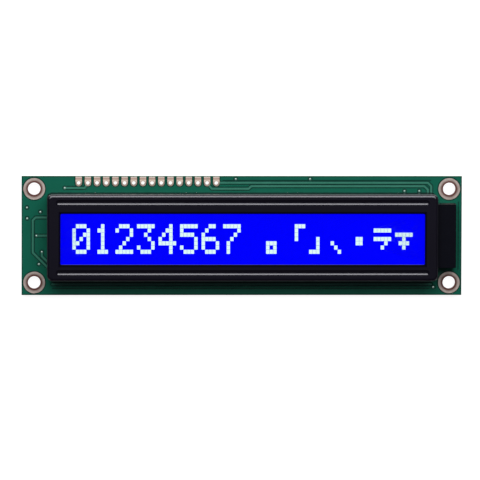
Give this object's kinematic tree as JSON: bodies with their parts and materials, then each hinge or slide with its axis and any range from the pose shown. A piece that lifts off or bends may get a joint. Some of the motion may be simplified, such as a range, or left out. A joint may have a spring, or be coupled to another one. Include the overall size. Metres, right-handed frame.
{
  "type": "character lcd module",
  "caption": "Flat display module: one row of large dot-matrix characters behind a black folded bezel on a green circuit board with a header row and corner holes.",
  "frame": {"origin": "midway between the four mounting holes, on the back face of the circuit board", "axes": "+X along the row of characters, left to right as read; +Y toward the row of header pads; +Z out of the display"},
  "size_m": [0.122, 0.033, 0.0122],
  "materials": {
    "board": "green solder mask over glass laminate",
    "pour": "green solder mask over copper",
    "track": "green solder mask over a raised track",
    "plating": "dull tin plating",
    "pad": "tinned pad",
    "gold": "thin gold plating",
    "bezel": "semi-gloss black paint",
    "front_film": "clear glossy polarizer film",
    "glass": "clear flat glass",
    "seal": "cured epoxy seal",
    "resin": "clear yellowish resin",
    "field": "deep blue field",
    "dots": "bright white dots",
    "rear_film": "grey-blue polarizer film",
    "contact_rubber": "layered silicone rubber",
    "white_film": "white film",
    "acrylic": "clear acrylic",
    "tray": "white moulded plastic",
    "light_bar": "white-masked laminate",
    "lamp": "phosphor under clear resin",
    "shield": "black film cap, semi-matt",
    "lead": "tinned wire",
    "solder": "bright solder",
    "blob": "black epoxy, semi-gloss",
    "resistor": "black glaze",
    "capacitor": "tan ceramic",
    "chip_cap": "tinned end cap",
    "ink": "white printed ink"
  },
  "bodies": {
    "root": {"header_pads": "pad", "printed_circuit_board": "board", "front_pour": "pour", "front_tracks": "track", "back_copper": "pour", "mounting_rings": "plating", "vias": "pad", "contact_fingers": "gold", "bezel": "bezel", "front_polarizer": "front_film", "front_glass": "glass", "cell_seal": "seal", "fill_plug": "resin", "liquid_crystal": "field", "lit_dots": "dots", "rear_glass": "glass", "rear_polarizer": "rear_film", "contact_strip_top": "contact_rubber", "contact_strip_bottom": "contact_rubber", "diffuser_sheet": "white_film", "light_guide": "acrylic", "reflector_sheet": "white_film", "backlight_tray": "tray", "light_bar": "light_bar", "lamp_chips": "lamp", "light_shield": "shield", "backlight_leads": "lead", "lead_solder": "solder", "controller_blob": "blob", "driver_blob": "blob", "chip_resistors": "resistor", "resistor_caps": "chip_cap", "chip_capacitors": "capacitor", "capacitor_caps": "chip_cap", "silkscreen_back": "ink"}
  },
  "joints": []
}
